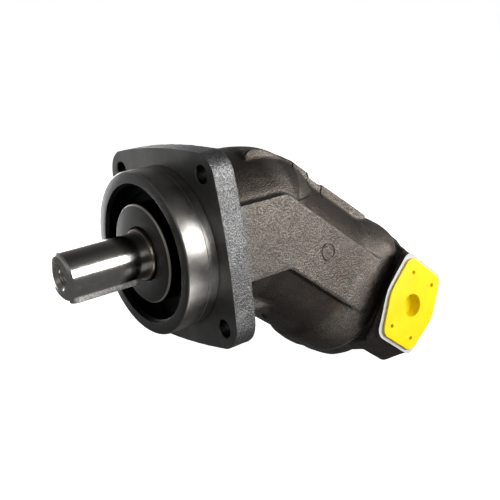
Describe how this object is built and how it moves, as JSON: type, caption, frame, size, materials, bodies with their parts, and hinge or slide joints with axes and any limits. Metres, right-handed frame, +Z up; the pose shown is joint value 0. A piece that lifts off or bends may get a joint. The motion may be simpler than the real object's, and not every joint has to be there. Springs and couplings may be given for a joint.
{
  "type": "axial piston pump",
  "caption": "Bent-axis hydraulic axial piston pump with a square mounting flange, keyed drive shaft and side ports under pull-off covers.",
  "frame": {"origin": "centre of the mounting flange's front face, on the drive shaft's axis", "axes": "-X points along the shaft towards its free end and +X into the casing, which is bent 40 degrees towards -Z; +Z is up; the two port faces look along -Y and +Y"},
  "size_m": [0.313, 0.1606, 0.2126],
  "materials": {
    "cast_iron_casting": "sand-cast with machined faces, dark phosphated",
    "polished_shaft_steel": "ground and polished",
    "ground_steel": "ground",
    "dark_steel": "turned and blackened",
    "bronze": "turned",
    "black_rubber": "moulded",
    "yellow_cover": "moulded, slightly glossy"
  },
  "bodies": {
    "casing": {"housing": "cast_iron_casting", "port_plate": "cast_iron_casting", "port_plate_screw_1": "dark_steel", "port_plate_screw_2": "dark_steel", "port_plate_screw_3": "dark_steel", "port_plate_screw_4": "dark_steel", "housing_o_ring": "black_rubber", "seal_carrier": "dark_steel", "carrier_o_ring": "black_rubber", "shaft_seal": "black_rubber", "snap_ring": "ground_steel", "shim_ring": "ground_steel", "front_bearing_cup": "ground_steel", "rear_bearing_cup": "ground_steel", "control_lens": "bronze", "lens_locating_pin": "ground_steel", "top_drain_plug": "dark_steel", "top_drain_washer": "bronze", "bottom_drain_plug": "dark_steel", "bottom_drain_washer": "bronze"},
    "shaft": {"drive_shaft": "polished_shaft_steel", "shaft_key": "ground_steel", "wear_sleeve": "bronze", "front_bearing_cone": "ground_steel", "rear_bearing_cone": "ground_steel", "retaining_plate": "ground_steel", "retainer_screw_1": "dark_steel", "retainer_screw_2": "dark_steel", "retainer_screw_3": "dark_steel", "retainer_screw_4": "dark_steel", "retainer_screw_5": "dark_steel", "retainer_screw_6": "dark_steel", "retainer_screw_7": "dark_steel"},
    "front_rollers": {"front_bearing_rollers": "bronze"},
    "rear_rollers": {"rear_bearing_rollers": "bronze"},
    "cylinder_group": {"cylinder_block": "dark_steel", "piston_1": "ground_steel", "piston_2": "ground_steel", "piston_3": "ground_steel", "piston_4": "ground_steel", "piston_5": "ground_steel", "piston_6": "ground_steel", "piston_7": "ground_steel", "piston_ring_1": "dark_steel", "piston_ring_2": "dark_steel", "piston_ring_3": "dark_steel", "piston_ring_4": "dark_steel", "piston_ring_5": "dark_steel", "piston_ring_6": "dark_steel", "piston_ring_7": "dark_steel", "centre_pin": "ground_steel", "spring_seat": "ground_steel", "centre_spring": "ground_steel"},
    "left_cover": {"left_port_cover": "yellow_cover"},
    "right_cover": {"right_port_cover": "yellow_cover"}
  },
  "joints": [
    {"name": "shaft_spin", "type": "hinge", "parent": "casing", "child": "shaft", "pos_m": [0, 0, 0], "axis": [1, 0, 0], "continuous": true},
    {"name": "block_spin", "type": "hinge", "parent": "casing", "child": "cylinder_group", "pos_m": [0.0686, 0, 0], "axis": [0.766, 0, -0.6428], "continuous": true},
    {"name": "front_rollers_spin", "type": "hinge", "parent": "casing", "child": "front_rollers", "pos_m": [0, 0, 0], "axis": [1, 0, 0], "continuous": true},
    {"name": "rear_rollers_spin", "type": "hinge", "parent": "casing", "child": "rear_rollers", "pos_m": [0, 0, 0], "axis": [1, 0, 0], "continuous": true},
    {"name": "left_cover_pull", "type": "slide", "parent": "casing", "child": "left_cover", "axis": [0, -1, 0], "range_m": [0, 0.04]},
    {"name": "right_cover_pull", "type": "slide", "parent": "casing", "child": "right_cover", "axis": [0, 1, 0], "range_m": [0, 0.04]}
  ],
  "couplings": [
    {"joint": "block_spin", "follows": "shaft_spin", "ratio": 1},
    {"joint": "front_rollers_spin", "follows": "shaft_spin", "ratio": 0.43},
    {"joint": "rear_rollers_spin", "follows": "shaft_spin", "ratio": 0.43}
  ]
}
